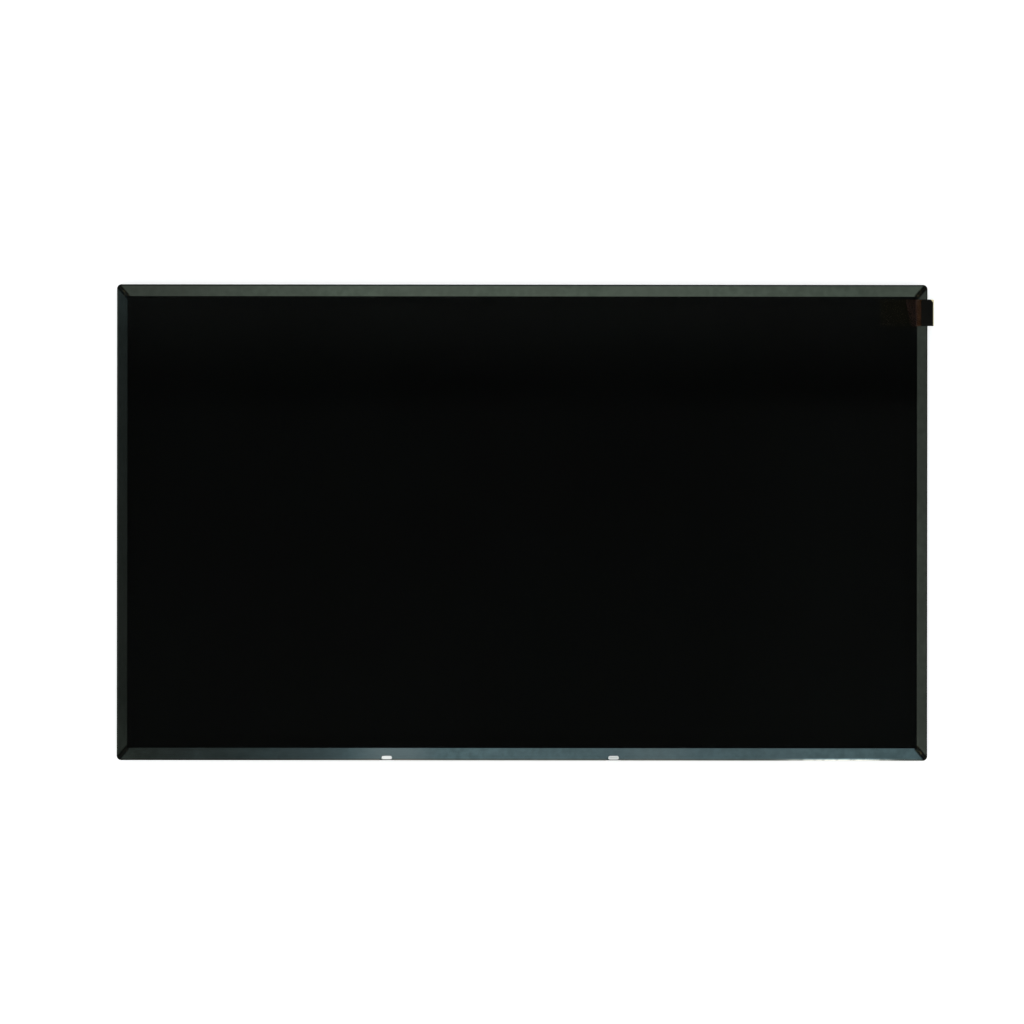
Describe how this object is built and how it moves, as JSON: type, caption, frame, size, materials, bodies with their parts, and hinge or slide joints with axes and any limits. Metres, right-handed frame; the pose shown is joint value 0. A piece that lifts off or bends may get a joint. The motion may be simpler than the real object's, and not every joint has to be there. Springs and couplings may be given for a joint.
{
  "type": "laptop screen panel",
  "caption": "Flat liquid-crystal screen panel for a laptop lid: glass cell on an edge-lit backlight in a folded steel bezel, with a film pull tab and a drive board behind the lower edge.",
  "frame": {"origin": "under the middle of the outline, on the plane of the rear rim", "axes": "+X along the long side to the right as seen from the front, +Y towards the top of the picture, +Z out of the screen"},
  "size_m": [0.3619, 0.211, 0.0061],
  "materials": {
    "bezel_steel": "satin dark coating on stamped steel",
    "screen_film": "clear gloss film",
    "front_polariser": "gloss black",
    "rear_polariser": "dark translucent",
    "cell_glass": "polished sheet glass",
    "rim_tape": "black foam tape",
    "tab_strip": "clear film",
    "tab_tape": "amber film",
    "tab_grip": "black film",
    "diffuser": "milky film",
    "prism_film": "finely ribbed clear film",
    "guide_acrylic": "polished clear acrylic",
    "reflector": "white film",
    "bar_flex": "white coated flex",
    "light_package": "yellow phosphor in white housing",
    "frame_plastic": "white moulded polycarbonate",
    "tray_aluminium": "mill finish",
    "bar_steel": "plated",
    "driver_film": "brown polyimide",
    "driver_chip": "black resin",
    "board": "green solder mask",
    "board_tape": "double-sided tape",
    "board_guard": "smoky clear film",
    "plug_plastic": "ivory resin",
    "plug_steel": "tinned sheet",
    "contact_gold": "gold plated",
    "latch_plastic": "black resin",
    "package_resin": "black moulding resin",
    "lead_tin": "tinned",
    "coil_ferrite": "grey ferrite",
    "capacitor_ceramic": "tan ceramic, tinned ends",
    "resistor_ceramic": "black coated ceramic, tinned ends",
    "fuse_ceramic": "white ceramic, tinned ends"
  },
  "bodies": {
    "root": {"array_glass": "cell_glass", "bar_socket": "plug_plastic", "board_guard": "board_guard", "board_tape": "board_tape", "capacitors": "capacitor_ceramic", "colour_filter_glass": "cell_glass", "drive_board": "board", "driver_chip_1": "driver_chip", "driver_chip_2": "driver_chip", "driver_chip_3": "driver_chip", "driver_film_1": "driver_film", "driver_film_2": "driver_film", "driver_film_3": "driver_film", "front_bezel": "bezel_steel", "front_polariser": "front_polariser", "fuse": "fuse_ceramic", "lamp_coil": "coil_ferrite", "lamp_driver": "package_resin", "light_bar_flex": "bar_flex", "light_guide": "guide_acrylic", "light_packages": "light_package", "lower_diffuser": "diffuser", "lower_prism_sheet": "prism_film", "memory_chip": "package_resin", "mould_frame": "frame_plastic", "plug_contacts": "contact_gold", "plug_housing": "plug_plastic", "plug_shell": "plug_steel", "power_chip": "package_resin", "power_coil": "coil_ferrite", "pull_tab_grip": "tab_grip", "pull_tab_strip": "tab_strip", "pull_tab_tape": "tab_tape", "rear_cover": "tray_aluminium", "rear_polariser": "rear_polariser", "reflector_sheet": "reflector", "resistors": "resistor_ceramic", "rim_tape": "rim_tape", "screen_film": "screen_film", "socket_latch": "latch_plastic", "tapped_bar_left_lower": "bar_steel", "tapped_bar_left_upper": "bar_steel", "tapped_bar_right_lower": "bar_steel", "tapped_bar_right_upper": "bar_steel", "timing_chip": "package_resin", "timing_chip_leads": "lead_tin", "upper_diffuser": "diffuser", "upper_prism_sheet": "prism_film"}
  },
  "joints": []
}
